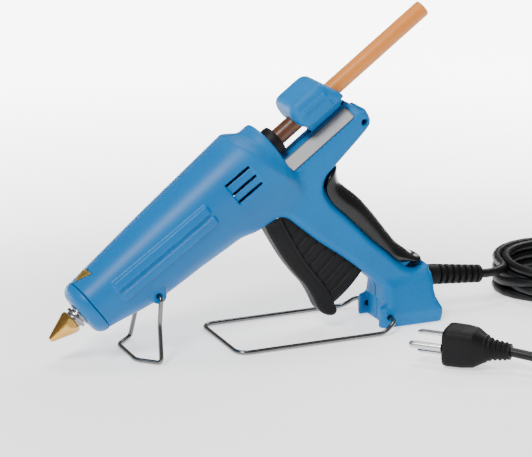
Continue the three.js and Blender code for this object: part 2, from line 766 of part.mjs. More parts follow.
add(plug, 'plug_body', plugBody(), looks.black);
add(plug, 'plug_blade_upper', solidOf(box(0, 18.6, -3.2, 3.2, 5.6, 7.1)), looks.steel);
add(plug, 'plug_blade_lower', solidOf(box(0, 18.6, -3.2, 3.2, -7.1, -5.6)), looks.steel);
add(plug, 'plug_ground_pin', solidOf(
  new THREE.CylinderGeometry(2.4, 2.4, 21.6, 12).rotateZ(Math.PI / 2).translate(7.8, -9, 0)), looks.steel);

export default gun;
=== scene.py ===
import functools
import json
import math

import bpy
import numpy as np
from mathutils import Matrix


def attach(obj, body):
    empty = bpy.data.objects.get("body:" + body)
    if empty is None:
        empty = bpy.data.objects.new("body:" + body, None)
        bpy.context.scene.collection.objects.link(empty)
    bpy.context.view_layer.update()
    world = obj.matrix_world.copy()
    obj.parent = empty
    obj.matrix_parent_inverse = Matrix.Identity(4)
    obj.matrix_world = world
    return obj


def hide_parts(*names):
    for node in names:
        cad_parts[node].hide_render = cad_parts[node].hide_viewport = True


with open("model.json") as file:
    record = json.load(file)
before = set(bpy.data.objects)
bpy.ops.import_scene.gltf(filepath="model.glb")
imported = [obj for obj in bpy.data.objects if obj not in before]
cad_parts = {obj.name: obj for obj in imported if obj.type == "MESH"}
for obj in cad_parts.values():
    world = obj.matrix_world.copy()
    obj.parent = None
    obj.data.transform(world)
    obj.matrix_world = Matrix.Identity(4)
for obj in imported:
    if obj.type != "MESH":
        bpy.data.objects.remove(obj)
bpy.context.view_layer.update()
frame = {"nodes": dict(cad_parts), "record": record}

# Lengths below are millimetres from the nozzle tip: x back along the gun, y to its right side, z up.
gun = {
    "tipX": -136.2,  # where the tip stands in the frame
    "tipZ": 16.5,
    "tilt": math.radians(36.7),
}
cosTilt = math.cos(gun["tilt"])
sinTilt = math.sin(gun["tilt"])


def toFrame(points):
    # gun millimetres to frame metres
    out = np.array(points, dtype=float)
    out[..., 0] += gun["tipX"]
    return out / 1000.0


def fromAxis(points):
    # (along the barrel axis, y, square to the axis) to gun millimetres
    p = np.asarray(points, dtype=float)
    along, side, up = p[..., 0], p[..., 1], p[..., 2]
    return np.stack([along * cosTilt - up * sinTilt, side,
                     gun["tipZ"] + along * sinTilt + up * cosTilt], axis=-1)


def axisPoints(points):
    # the same for side-view points (along, up), as a list of (x, z)
    return [(float(x), float(z)) for x, y, z in fromAxis([(along, 0.0, up) for along, up in points])]


view = {"eye": (-0.5808, -1.3868, 0.5165), "azimuth": -23.21, "elevation": 16.36, "lens": 162.4}


def makeCamera():
    data = bpy.data.cameras.new("camera")
    data.lens = view["lens"]
    data.sensor_width = 36.0
    data.clip_end = 20.0
    cam = bpy.data.objects.new("camera", data)
    bpy.context.scene.collection.objects.link(cam)
    cam.location = view["eye"]
    cam.rotation_euler = (math.radians(90.0 - view["elevation"]), 0.0, math.radians(view["azimuth"]))
    bpy.context.scene.camera = cam


makeCamera()
print("camera set")


def meshObject(name, points, faces, sharp=None):
    # points in gun millimetres, faces a whole array of quads; one that closes up at a pole keeps three corners
    mesh = bpy.data.meshes.new(name)
    closedUp = faces[:, 0] == faces[:, 1]
    quads = faces[~closedUp]
    tips = faces[closedUp][:, [0, 2, 3]]
    loops = np.concatenate([quads.ravel(), tips.ravel()]).astype(np.int32)
    totals = np.concatenate([np.full(len(quads), 4), np.full(len(tips), 3)]).astype(np.int32)
    starts = np.concatenate([[0], np.cumsum(totals)[:-1]]).astype(np.int32)
    mesh.vertices.add(len(points))
    mesh.vertices.foreach_set("co", toFrame(points).ravel())
    mesh.loops.add(len(loops))
    mesh.loops.foreach_set("vertex_index", loops)
    mesh.polygons.add(len(totals))
    mesh.polygons.foreach_set("loop_start", starts)
    mesh.polygons.foreach_set("loop_total", totals)
    mesh.polygons.foreach_set("use_smooth", np.ones(len(totals), dtype=bool))
    mesh.update(calc_edges=True)
    mesh.validate()
    if sharp is not None:
        mesh.set_sharp_from_angle(angle=math.radians(sharp))
    obj = bpy.data.objects.new(name, mesh)
    bpy.context.scene.collection.objects.link(obj)
    return obj


def gridFaces(rows, columns):
    # quads of a rows x columns grid whose columns join round on themselves
    r, c = np.meshgrid(np.arange(rows - 1), np.arange(columns), indexing="ij")
    n = (c + 1) % columns
    below, above = r * columns, (r + 1) * columns
    return np.stack([below + c, below + n, above + n, above + c], axis=-1).reshape(-1, 4)


def ringAngles(count):
    return np.linspace(0.0, 2.0 * math.pi, count, endpoint=False)


def roundedSquare(c, s, power):
    # how far a superellipse of the power lies from its middle, where the cosine and sine are c and s
    return (np.abs(c) ** power + np.abs(s) ** power) ** (-1.0 / power)


def closedRows(grid):
    # grid of rings (rows, columns, 3) with a middle point closing each end, as points and quads
    rows, columns = grid.shape[:2]
    points = grid.reshape(-1, 3)
    faces = gridFaces(rows, columns)
    ring = np.arange(columns)
    after = (ring + 1) % columns
    base = (rows - 1) * columns
    first = np.full(columns, len(points))
    last = first + 1
    startCap = np.stack([first, first, after, ring], axis=-1)
    endCap = np.stack([last, last, base + ring, base + after], axis=-1)
    points = np.concatenate([points, [grid[0].mean(axis=0), grid[-1].mean(axis=0)]])
    return points, np.concatenate([faces, startCap, endCap])


def turned(profile, columns=96, closed=False):
    # surface of revolution: (x, radius) pairs carried round the X axis
    p = np.array(profile, dtype=float)
    angle = ringAngles(columns)
    x = np.repeat(p[:, :1], columns, axis=1)
    grid = np.stack([x, -p[:, 1:] * np.sin(angle), p[:, 1:] * np.cos(angle)], axis=-1)
    if closed:
        return grid.reshape(-1, 3), gridFaces(len(p) + 1, columns) % (len(p) * columns)
    return closedRows(grid)


def corner(before, here, after, reach, limit, pieces):
    # a quadratic bend that starts and ends within reach of the corner, and within a share of each side
    a = np.linalg.norm(before - here)
    b = np.linalg.norm(after - here)
    start = here + (before - here) * min(reach, a * limit) / a
    end = here + (after - here) * min(reach, b * limit) / b
    t = np.linspace(0.0, 1.0, pieces + 1)[:, None]
    return (1 - t) ** 2 * start + 2 * t * (1 - t) * here + t ** 2 * end


def softened(points, reach, pieces, closed=False):
    # each corner of a line, but for the ends of an open one, becomes a short bend
    p = np.array(points, dtype=float)
    count = len(p)
    out = []
    for i in range(count):
        if not closed and i in (0, count - 1):
            out.append(p[i:i + 1])
        else:
            out.append(corner(p[i - 1], p[i], p[(i + 1) % count], reach, 0.45, pieces))
    return np.concatenate(out)


def runAlong(line):
    return np.concatenate([[0.0], np.cumsum(np.linalg.norm(np.diff(line, axis=0), axis=1))])


def alongLine(line, run, want):
    # the line's points at the wanted lengths along it
    return np.stack([np.interp(want, run, line[:, k]) for k in range(line.shape[1])], axis=-1)


def smoothLine(points, count, closed=False):
    # Catmull-Rom curve through the points, at equal steps of its length
    p = np.array(points, dtype=float)
    if closed:
        q = np.concatenate([p[-1:], p, p[:2]])
    else:
        q = np.concatenate([2 * p[:1] - p[1:2], p, 2 * p[-1:] - p[-2:-1]])
    t = np.linspace(0.0, 1.0, 25)[:-1, None]
    parts = []
    for i in range(len(q) - 3):
        a, b, c, d = q[i:i + 4]
        bend = (2 * a - 5 * b + 4 * c - d) * t ** 2 + (3 * b - a - 3 * c + d) * t ** 3
        parts.append(0.5 * (2 * b + (c - a) * t + bend))
    fine = np.concatenate(parts + [q[-2:-1]])
    run = runAlong(fine)
    return alongLine(fine, run, np.linspace(0.0, run[-1], count))


def tube(path, radius, columns):
    # circle of the radius carried along the path, its frame turned as little as it can be from step to step
    tangent = np.gradient(path, axis=0)
    tangent /= np.linalg.norm(tangent, axis=1)[:, None]
    first = np.cross(tangent[0], [0.0, 0.0, 1.0] if abs(tangent[0][2]) < 0.9 else [1.0, 0.0, 0.0])
    normals = [first / np.linalg.norm(first)]
    for step in tangent[1:]:
        n = normals[-1] - step * np.dot(normals[-1], step)
        normals.append(n / np.linalg.norm(n))
    normal = np.array(normals)
    binormal = np.cross(tangent, normal)
    angle = ringAngles(columns)[None, :, None]
    spoke = np.cos(angle) * normal[:, None, :] + np.sin(angle) * binormal[:, None, :]
    return closedRows(path[:, None, :] + radius[:, None, None] * spoke)


# A blended solid is a distance formula on a grid, and its surface is where the formula is zero.
def surfaceNet(field, origin, step):
    # one point in each cell that the surface crosses, at the mean of its edge crossings; one quad round each
    # grid edge whose ends lie on different sides
    shape = np.array(field.shape)
    cells = shape - 1
    total = np.zeros(tuple(cells) + (3,), dtype=np.float32)
    hits = np.zeros(tuple(cells), dtype=np.float32)
    crossings = []
    for axis in range(3):
        low = [slice(None)] * 3
        high = [slice(None)] * 3
        low[axis] = slice(0, -1)
        high[axis] = slice(1, None)
        a = field[tuple(low)]
        b = field[tuple(high)]
        cross = (a < 0) != (b < 0)
        part = np.where(cross, a / np.where(cross, a - b, 1.0), 0.0)
        crossings.append((cross, a < 0))
        others = [k for k in range(3) if k != axis]
        for du in (0, 1):
            for dv in (0, 1):
                take = [slice(None)] * 3
                take[others[0]] = slice(du, du + cells[others[0]])
                take[others[1]] = slice(dv, dv + cells[others[1]])
                c = cross[tuple(take)]
                hits += c
                total[..., axis] += np.where(c, part[tuple(take)], 0.0)
                total[..., others[0]] += c * du
                total[..., others[1]] += c * dv
    used = hits > 0
    index = np.full(tuple(cells), -1, dtype=np.int64)
    index[used] = np.arange(int(used.sum()))
    where = np.argwhere(used)
    points = np.asarray(origin) + (where + total[used] / hits[used][:, None]) * step
    faces = []
    for axis in range(3):
        cross, lowInside = crossings[axis]
        u, v = (axis + 1) % 3, (axis + 2) % 3
        at = np.argwhere(cross)
        keep = (at[:, u] > 0) & (at[:, u] < cells[u]) & (at[:, v] > 0) & (at[:, v] < cells[v])
        at = at[keep]
        around = []
        for du, dv in ((-1, -1), (0, -1), (0, 0), (-1, 0)):
            c = at.copy()
            c[:, u] += du
            c[:, v] += dv
            around.append(index[c[:, 0], c[:, 1], c[:, 2]])
        quad = np.stack(around, axis=-1)
        turn = ~lowInside[at[:, 0], at[:, 1], at[:, 2]]
        quad[turn] = quad[turn][:, ::-1]
        faces.append(quad)
    return points, np.concatenate(faces)


def smoothMin(a, b, k):
    # joins two distances with a fillet about k wide
    h = np.maximum(k - np.abs(a - b), 0.0) / k
    return np.minimum(a, b) - h * h * k * 0.25


def smoothMax(a, b, k):
    return -smoothMin(-a, -b, k)


def common(*parts):
    # the space that all the distances share
    return functools.reduce(np.maximum, parts)


def joined(*parts):
    return functools.reduce(np.minimum, parts)


def between(value, low, high):
    # negative from low to high
    return np.maximum(low - value, value - high)


def away(u, v, point=(0.0, 0.0)):
    return np.sqrt((u - point[0]) ** 2 + (v - point[1]) ** 2)


def ramp(value, low, high):
    # 0 below low, 1 above high, an S-curve between
    t = np.clip((value - low) / (high - low), 0.0, 1.0)
    return t * t * (3 - 2 * t)


def band(value, low, high, soft):
    # 1 from low to high, 0 outside, with an S-curve of twice soft at each end
    return ramp(value, low - soft, low + soft) * (1 - ramp(value, high - soft, high + soft))


def outlineDistance(u, v, outline):
    # distance from points (u, v) to a closed outline, negative inside
    p = np.asarray(outline, dtype=np.float32)
    q = np.roll(p, -1, axis=0)
    best = np.full(np.broadcast(u, v).shape, 1e9, dtype=np.float32)
    inside = np.zeros(best.shape, dtype=bool)
    for (ax, ay), (bx, by) in zip(p, q):
        dx, dy = bx - ax, by - ay
        t = np.clip(((u - ax) * dx + (v - ay) * dy) / (dx * dx + dy * dy), 0.0, 1.0)
        best = np.minimum(best, (u - ax - t * dx) ** 2 + (v - ay - t * dy) ** 2)
        if by != ay:
            inside ^= ((ay > v) != (by > v)) & (u < ax + (v - ay) * dx / dy)
    best = np.sqrt(best)
    return np.where(inside, -best, best)


def slab(radius, *parts):
    # distances that lie square to each other, made one solid with edges of the radius
    grown = [part + radius for part in parts]
    out = np.sqrt(sum(np.maximum(part, 0.0) ** 2 for part in grown))
    return np.minimum(common(*grown), 0.0) + out - radius


def solidPiece(name, field, low, high, step, place=None):
    # the surface where the field of a box is zero, in gun millimetres unless place turns it into them
    reach = 2 * step
    origin = [a - reach for a in low]
    axes = [np.arange(a, b + reach + step, step, dtype=np.float32) for a, b in zip(origin, high)]
    grid = (axes[0][:, None, None], axes[1][None, :, None], axes[2][None, None, :])
    points, faces = surfaceNet(field(*grid).astype(np.float32), origin, step)
    print(name, len(faces), "quads")
    return meshObject(name, place(points) if place else points, faces)


class Wire:
    # a socket that can be reckoned with: each operator adds its Math node
    def __init__(self, paint, socket):
        self.paint = paint
        self.socket = socket

    def math(self, operation, other, swapped=False):
        pair = (other, self) if swapped else (self, other)
        return self.paint.node("ShaderNodeMath", {"operation": operation}, dict(enumerate(pair)))

    def __add__(self, other):
        return self.math("ADD", other)

    def __sub__(self, other):
        return self.math("SUBTRACT", other)

    def __rsub__(self, other):
        return self.math("SUBTRACT", other, swapped=True)

    def __mul__(self, other):
        return self.math("MULTIPLY", other)

    def __truediv__(self, other):
        return self.math("DIVIDE", other)

    def __pow__(self, other):
        return self.math("POWER", other)

    def clipped(self):
        return self.math("MAXIMUM", 0.0).math("MINIMUM", 1.0)

    __radd__ = __add__
    __rmul__ = __mul__


class Paint:
    # one material and its Principled shader
    def __init__(self, name, **sockets):
        self.material = bpy.data.materials.new(name)
        self.material.use_nodes = True
        self.tree = self.material.node_tree
        self.tree.nodes.clear()
        out = self.tree.nodes.new("ShaderNodeOutputMaterial")
        self.shader = self.tree.nodes.new("ShaderNodeBsdfPrincipled")
        self.tree.links.new(self.shader.outputs[0], out.inputs["Surface"])
        for key, value in sockets.items():
            self.shader.inputs[key].default_value = value
        self.place = self.node("ShaderNodeTexCoord", output="Object")

    def node(self, kind, settings=None, inputs=None, output=0):
        made = self.tree.nodes.new(kind)
        for key, value in (settings or {}).items():
            setattr(made, key, value)
        for key, value in (inputs or {}).items():
            socket = made.inputs[key]
            if isinstance(value, Wire):
                self.tree.links.new(value.socket, socket)
            else:
                socket.default_value = value
        return Wire(self, made.outputs[output])

    def noise(self, scale, detail, roughness, place=None):
        inputs = {"Vector": place or self.place, "Scale": scale, "Detail": detail, "Roughness": roughness}
        return self.node("ShaderNodeTexNoise", None, inputs)

    def mix(self, amount, first, second):
        # colours are three numbers or a wire
        def colour(value):
            return value if isinstance(value, Wire) else (*value, 1.0)
        inputs = {0: amount, 6: colour(first), 7: colour(second)}
        return self.node("ShaderNodeMix", {"data_type": "RGBA"}, inputs, output=2)

    def axes(self):
        # object coordinates in millimetres
        parts = [self.node("ShaderNodeSeparateXYZ", None, {0: self.place}, output=k) for k in range(3)]
        return [p * 1000.0 for p in parts]

    def barrelAxes(self):
        # millimetres along the barrel axis, sideways, and square to the axis
        x, y, z = self.axes()
        x = x - gun["tipX"]
        z = z - gun["tipZ"]
        return x * cosTilt + z * sinTilt, y, z * cosTilt - x * sinTilt

    def feed(self, socket, value):
        self.tree.links.new(value.socket, self.shader.inputs[socket])

    def bump(self, height, distance, strength):
        inputs = {"Strength": strength, "Distance": distance, "Height": height}
        self.feed("Normal", self.node("ShaderNodeBump", None, inputs))


def shellPaint():
    # moulded plastic: fine grain, stronger on the handle and rail than on the barrel, and faint cloudiness
    p = Paint("shellPlastic", **{"Specular IOR Level": 0.22})
    along = p.barrelAxes()[0]
    grainy = ((along - 150.0) / 45.0).clipped()
    grain = p.noise(900.0, 2.0, 0.6)
    cloud = p.noise(28.0, 3.0, 0.5)
    p.feed("Base Color", p.mix(cloud * 0.4 + grain * grainy * 0.6, (0.0, 0.11, 0.32), (0.0, 0.19, 0.50)))
    p.feed("Roughness", 0.34 + grainy * 0.14 + cloud * 0.08)
    p.bump(grain * (0.25 + grainy * 0.75), 0.0002, 0.7)
    return p.material


def satinPaint(name, dark, light, roughness, grainScale, depth, shine=0.5):
    p = Paint(name, **{"Specular IOR Level": shine})
    grain = p.noise(grainScale, 3.0, 0.55)
    wear = p.noise(45.0, 4.0, 0.6)
    p.feed("Base Color", p.mix(wear, dark, light))
    p.feed("Roughness", roughness + wear * 0.12)
    p.bump(grain, depth, 0.5)
    return p.material


def metalPaint(name, dark, light, roughness, scale=60.0, depth=0.00003):
    p = Paint(name, Metallic=1.0)
    spots = p.noise(scale, 4.0, 0.6)
    fine = p.noise(scale * 14.0, 2.0, 0.5)
    p.feed("Base Color", p.mix(spots, dark, light))
    p.feed("Roughness", roughness + spots * 0.1)
    p.bump(fine, depth, 0.4)
    return p.material


def turnedMetalPaint(name, dark, light, roughness):
    # lathe marks: rings half a millimetre apart along the barrel axis
    p = Paint(name, Metallic=1.0)
    rings = (p.barrelAxes()[0] * (2.0 * math.pi / 0.5)).math("SINE", 0.0)
    spots = p.noise(90.0, 3.0, 0.55)
    p.feed("Base Color", p.mix(spots, dark, light))
    p.feed("Roughness", roughness + spots * 0.1)
    p.bump(rings, 0.000012, 0.5)
    return p.material


def gluePaint():
    # cloudy amber stick: painted shade keeps it dark brown by the sleeve and up to the carriage, and it turns
    # paler towards its end
    p = Paint("hotGlue", **{"Subsurface Weight": 0.35, "Subsurface Scale": 0.004, "IOR": 1.48})
    p.shader.inputs["Subsurface Radius"].default_value = (1.0, 0.45, 0.2)
    outOfPaintedShade = ((p.barrelAxes()[0] - 209.0) / 30.0).clipped()
    cloud = p.noise(120.0, 3.0, 0.5)
    # painted shade: dark brown where the stick lies in shadow before the carriage, lit amber past it
    body = p.mix(outOfPaintedShade, (0.10, 0.034, 0.011), (0.66, 0.22, 0.032))
    p.feed("Base Color", p.mix(cloud * outOfPaintedShade * 0.3, body, (0.74, 0.30, 0.05)))
    p.feed("Roughness", 0.26 + cloud * 0.16)
    p.bump(cloud, 0.0003, 0.35)
    return p.material


label = {"along": 215.5, "up": -16.4, "half": (28.4, 4.9), "borderAlong": 27.3, "borderUp": 3.0}


def labelPaint():
    # silvered foil with a fine brushed grain along its length and a dark line round its edge
    p = Paint("labelFoil", Metallic=0.35)
    along, y, up = p.barrelAxes()
    streak = p.node("ShaderNodeCombineXYZ", None, {0: along * 0.02, 1: y, 2: up})
    brushed = p.noise(9.0, 2.0, 0.6, streak)
    ends = (along - label["along"]).math("ABSOLUTE", 0.0) - label["borderAlong"]
    sides = (up - label["up"]).math("ABSOLUTE", 0.0) - label["borderUp"]
    edge = (ends * 4.0).clipped().math("MAXIMUM", (sides * 4.0).clipped())
    foil = p.mix(brushed, (0.17, 0.17, 0.18), (0.27, 0.265, 0.265))
    p.feed("Base Color", p.mix(edge * 0.75, foil, (0.04, 0.04, 0.045)))
    p.feed("Roughness", 0.38 + brushed * 0.14)
    p.bump(brushed, 0.00003, 0.4)
    return p.material


def makePaints():
    # one for each material slot of the record, and a turned finish for the valve body
    black = (0.002, 0.002, 0.0025)
    return {
        "shell": shellPaint(),
        "black_plastic": satinPaint("blackPlastic", (0.004, 0.004, 0.0045), (0.009, 0.009, 0.01), 0.44, 900.0,
                                    0.00008, 0.16),
        "black_rubber": satinPaint("blackRubber", (0.003, 0.003, 0.0035), (0.007, 0.007, 0.008), 0.5, 700.0,
                                   0.0001, 0.16),
        "gloss_black": satinPaint("glossGrip", black, (0.004, 0.004, 0.005), 0.16, 260.0, 0.00003, 0.4),
        "cord": satinPaint("cordJacket", black, (0.005, 0.005, 0.006), 0.36, 500.0, 0.00008, 0.25),
        "brass": turnedMetalPaint("turnedBrass", (0.50, 0.26, 0.05), (0.74, 0.45, 0.13), 0.17),
        "steel": metalPaint("platedSteel", (0.46, 0.46, 0.47), (0.66, 0.66, 0.67), 0.22),
        "wire": metalPaint("nickelWire", (0.13, 0.13, 0.13), (0.24, 0.235, 0.23), 0.2, 40.0),
        "turnedSteel": turnedMetalPaint("turnedSteel", (0.2, 0.2, 0.21), (0.36, 0.35, 0.35), 0.2),
        "aluminium": metalPaint("castAluminium", (0.5, 0.51, 0.53), (0.68, 0.69, 0.71), 0.38, 200.0, 0.0002),
        "glue": gluePaint(),
        "label": labelPaint(),
        "gold": metalPaint("goldBadge", (0.56, 0.36, 0.07), (0.80, 0.56, 0.16), 0.3, 150.0),
        "ceramic": satinPaint("ceramic", (0.62, 0.6, 0.54), (0.74, 0.72, 0.66), 0.5, 400.0, 0.0001),
        "mica": satinPaint("mica", (0.42, 0.37, 0.27), (0.56, 0.5, 0.38), 0.35, 300.0, 0.0001),
    }


paints = makePaints()
slotOf = {part["node"]: part["material_slot"] for part in frame["record"]["subparts"]}
bodyOf = {node: body for body, nodes in frame["record"]["behaviour"]["bodies"].items() for node in nodes}


def finished(obj, node, slotName=None, paint=None):
    # the piece stands for the CAD node, on its body and in its material slot unless others are named
    slotName = slotName or slotOf[node]
    obj.data.materials.append(paints[paint or slotName])
    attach(obj, bodyOf[node])
    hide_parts(node)
    return obj


print("materials made")

cordPlan = {
    "radius": 3.1,
    "coilCentre": (376.0, 12.0),
    "heights": (22.9, 22.9, 16.4, 16.4, 9.9, 9.9, 3.4, 3.4),  # of each turn
    "radii": (41.2, 34.7, 34.7, 41.2, 41.2, 34.7, 34.7, 41.2),
    "coilStart": 164.0,  # degrees round the coil
    "coilEnd": -28.0,
    "lead": [(309.95, 0.0, 23.0), (314.0, 0.0, 22.6), (319.5, 0.35, 22.6), (325.0, 2.0, 22.8),
             (329.6, 5.2, 22.9), (332.8, 9.6, 22.9)],
    "tail": [(418.6, -46.0, 3.3), (414.0, -82.0, 3.3), (394.0, -116.0, 3.3), (360.0, -142.0, 3.3),
             (322.0, -160.0, 3.3), (297.0, -157.0, 5.0), (278.4, -141.4, 11.0)],
}

plug = {
    "tip": (220.6, -83.4, 13.2),
    "turn": math.radians(-45.2),
    "length": 62.0,
    "bladeHeights": {"Upper": 6.35, "Lower": -6.35},
    "bladeHalf": (3.2, 0.75),
    "pinRadius": 2.4,
    "pinSide": -9.0,
    "prongEnd": 18.6,
}


def plugPlace(points):
    # (along the plug from its blade tips, sideways, up) to gun millimetres
    along, side, up = np.moveaxis(np.asarray(points, dtype=float), -1, 0)
    c, s = math.cos(plug["turn"]), math.sin(plug["turn"])
    x, y, z = plug["tip"]
    return np.stack([x + along * c - side * s, y + along * s + side * c, z + up], axis=-1)


def coilTurns():
    # turn after turn clockwise: the angle falls steadily, and radius and height change over a short stretch
    start, end = math.radians(cordPlan["coilStart"]), math.radians(cordPlan["coilEnd"])
    turns = len(cordPlan["heights"])
    whole = (turns - 1) * 2.0 * math.pi + start - end
    angle = np.linspace(0.0, whole, int(26 * whole / (2 * math.pi)))
    which = angle / (2.0 * math.pi)

    def stepped(values):
        v = np.array(values + values[-1:])
        k = np.clip(np.floor(which).astype(int), 0, turns - 1)
        t = ramp(which - k, 0.82, 1.0)
        return v[k] * (1 - t) + v[k + 1] * t
    radius = stepped(cordPlan["radii"])
    cx, cy = cordPlan["coilCentre"]
    x, y = cx + radius * np.cos(start - angle), cy + radius * np.sin(start - angle)
    return np.stack([x, y, stepped(cordPlan["heights"])], axis=-1)


def makeCord():
    neck = plugPlace([plug["length"] + 0.35, 0.0, 0.0])
    coil = coilTurns()
    lead = smoothLine(cordPlan["lead"] + [tuple(coil[0])], 9)[:-1]
    tail = smoothLine([tuple(coil[-1])] + cordPlan["tail"] + [tuple(neck)], 44)[1:]
    data = bpy.data.curves.new("mainsCord", "CURVE")
    data.dimensions = "3D"
    data.bevel_depth = cordPlan["radius"] / 1000.0
    data.bevel_resolution = 5
    data.use_fill_caps = True
    spline = data.splines.new("POLY")
    at = toFrame(np.concatenate([lead, coil, tail]))
    spline.points.add(len(at) - 1)
    spline.points.foreach_set("co", np.concatenate([at, np.ones((len(at), 1))], axis=1).ravel())
    spline.use_smooth = True
    data.materials.append(paints["cord"])
    obj = bpy.data.objects.new("mainsCord", data)
    bpy.context.scene.collection.objects.link(obj)
    length = float(runAlong(at)[-1])
    print("cord length", round(length, 3))
    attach(obj, "gun_body")
    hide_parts("power_cord", "cord_coil", "plug_cord")
    return obj, length, at[0]


def plugBody():
    # a rounded square that swells and narrows along its length, with finger ridges on its neck
    columns = 96
    along = np.concatenate([[18.9, 18.9, 19.1, 19.8], np.linspace(21.0, 61.0, 121), [61.8, 62.0, 62.0]])
    stations = [18.9, 19.8, 22, 32, 39, 44, 50, 62]
    tall = np.interp(along, stations, [10.6, 12.2, 12.7, 12.7, 12.2, 9.6, 6.6, 5.2])
    wide = np.interp(along, stations, [10.0, 11.4, 11.9, 11.6, 10.8, 8.6, 6.4, 5.2])
    power = np.interp(along, [18.9, 32, 44, 50, 62], [5.0, 4.5, 3.0, 2.2, 2.0])[:, None]
    ridge = band(along, 46.0, 60.5, 0.5) * 0.45 * np.cos((along - 46.0) * 2 * math.pi / 3.2)
    ends = np.ones(len(along))
    ends[[0, -1]] = 0.001
    angle = ringAngles(columns)[None, :]
    c, s = np.cos(angle), np.sin(angle)
    size = roundedSquare(c, s, power) * ends[:, None]
    grid = np.stack([np.repeat(along[:, None], columns, axis=1), size * c * (wide + ridge)[:, None],
                     size * s * (tall + ridge)[:, None]], axis=-1)
    points, faces = closedRows(grid)
    return finished(meshObject("plugMoulding", plugPlace(points), faces, 50), "plug_body")


def plugBlade(which, height):
    # flat blade with a rounded tip: its half width follows a quarter ellipse over the tip
    columns = 32
    tip = 3.4
    along = np.concatenate([[0.0, 0.0, 0.12, 0.5, 1.2, 2.2, tip], np.linspace(4.0, plug["prongEnd"], 16)])
    wide, thick = plug["bladeHalf"]
    quarter = np.sqrt(np.clip(1 - (1 - along / tip) ** 2, 0.12, 1))
    half = np.where(along < tip, wide * quarter, wide)
    deep = np.interp(along, [0, 0.5, 1.2, 2.4, 20], [0.2, 0.45, 0.62, thick, thick])
    half[0] = deep[0] = 0.001
    angle = ringAngles(columns)[None, :]
    c, s = np.cos(angle), np.sin(angle)
    size = roundedSquare(c, s, 8)
    grid = np.stack([np.repeat(along[:, None], columns, axis=1), size * c * half[:, None],
                     height + size * s * deep[:, None]], axis=-1)
    points, faces = closedRows(grid)
    obj = meshObject("plugBlade" + which, plugPlace(points), faces, 40)
    return finished(obj, "plug_blade_" + which.lower())


def plugPin():
    # round earth pin with a domed tip
    along = np.concatenate([[-3.0, -2.9, -2.5, -1.8, -0.8], np.linspace(0.6, plug["prongEnd"], 10)])
    radius = np.concatenate([[0.6, 1.2, 1.75, 2.15, 2.36], np.full(10, plug["pinRadius"])])
    points, faces = turned(np.stack([along, radius], axis=-1), 32)
    points = points + np.array([0.0, plug["pinSide"], 0.0])
    return finished(meshObject("plugEarthPin", plugPlace(points), faces, 40), "plug_ground_pin")


boot = {
    "place": (268.0, 27.6),  # where its axis leaves the base
    "slope": math.atan(0.11),
    "from": -5.6,
    "to": 41.6,
    "ringPitch": 4.9,
    "dip": 1.9,
}


def makeStrainRelief():
    # tapered boot with rings: the radius falls along it and dips between the rings
    along = np.linspace(boot["from"], boot["to"], 190)
    radius = np.interp(along, [boot["from"], 2.0, 6.0, boot["to"]], [7.0, 7.0, 7.1, 6.2])
    wave = np.cos((along - 8.6) * 2 * math.pi / boot["ringPitch"])
    radius = radius - boot["dip"] * band(along, 8.5, 38.0, 0.5) * ramp(wave, 0.05, 0.55)
    radius[-3:] -= [0.15, 0.4, 0.9]
    profile = np.concatenate([np.stack([along, radius], axis=-1), [[41.6, 3.3], [41.3, 3.15]]])
    points, faces = turned(profile, 96)
    c, s = math.cos(boot["slope"]), math.sin(boot["slope"])
    x, z = boot["place"]
    place = np.stack([x + points[:, 0] * c + points[:, 2] * s, points[:, 1],
                      z - points[:, 0] * s + points[:, 2] * c], axis=-1)
    return finished(meshObject("cordBoot", place, faces, 40), "strain_relief")


mainsCord, cordLength, cordExit = makeCord()
onCord = [plugBody()] + [plugBlade(which, height) for which, height in plug["bladeHeights"].items()]
onCord += [plugPin(), makeStrainRelief()]
print("cord and plug made")

housing = {
    "step": 0.78,
    "start": 34.3,
    "end": 189.0,
    "radius": [(30, 18.9), (38, 19.2), (46, 19.8), (70, 21.3), (97, 22.9), (130, 24.4), (152, 25.4),
               (172, 26.3), (195, 26.3)],
    "depth": [(34.3, 46, 56, 66, 76, 104, 126, 155, 175, 195),
              (1.0, 1.12, 1.235, 1.315, 1.342, 1.345, 1.395, 1.43, 1.43, 1.3)],
    "hump": 19.3,
    "halfWidth": 14.0,
    "edge": 5.0,
    "wall": 2.4,
    "seam": 0.2,  # from the middle plane to the face of each half
    "ribs": ((3.2, 9.2), (-5.2, -0.2)),
    "ribHeight": 1.7,
    "ventPanel": (147.0, 166.9, -6.3, 9.9),
    "ventDepth": 1.3,
    "vents": (8.9, 1.6, -5.2),
    "railTop": -12.3,
    "railHalf": 5.6,  # flat top of the rail
    "railFace": (0.724, 0.689),  # direction square to the label's face
    "baseHalf": [(-10, 0, 9.0, 9.7, 12, 20, 30, 40), (19.6, 20.1, 21.3, 21.3, 20.8, 18.6, 15.6, 14.2)],
    "pivot": axisPoints([(163, -36)])[0],
    "slotReach": 81.8,
    "bailPivot": (68.5, 42.3),
    "standPivot": (231.6, 7.6),
    "lug": axisPoints([(247.0, -27.6)])[0],
    "bore": 8.6,  # radius round the inlet sleeve
    "screws": axisPoints([(124, -24.5), (152, -22.5), (182, -27), (226, -28), (192.5, -52)])
    + [(254.0, 13.0)],
}

badge = {"front": 36.4, "back": 47.0, "half": 6.3}

padSeat = [(211, -129), (208.6, -121), (207, -110.4), (203.7, -96.7), (201.7, -83), (199.7, -69.5),
           (197.3, -57.6), (197.7, -49.3), (200, -44), (205.6, -39.8), (215.2, -38.2)]

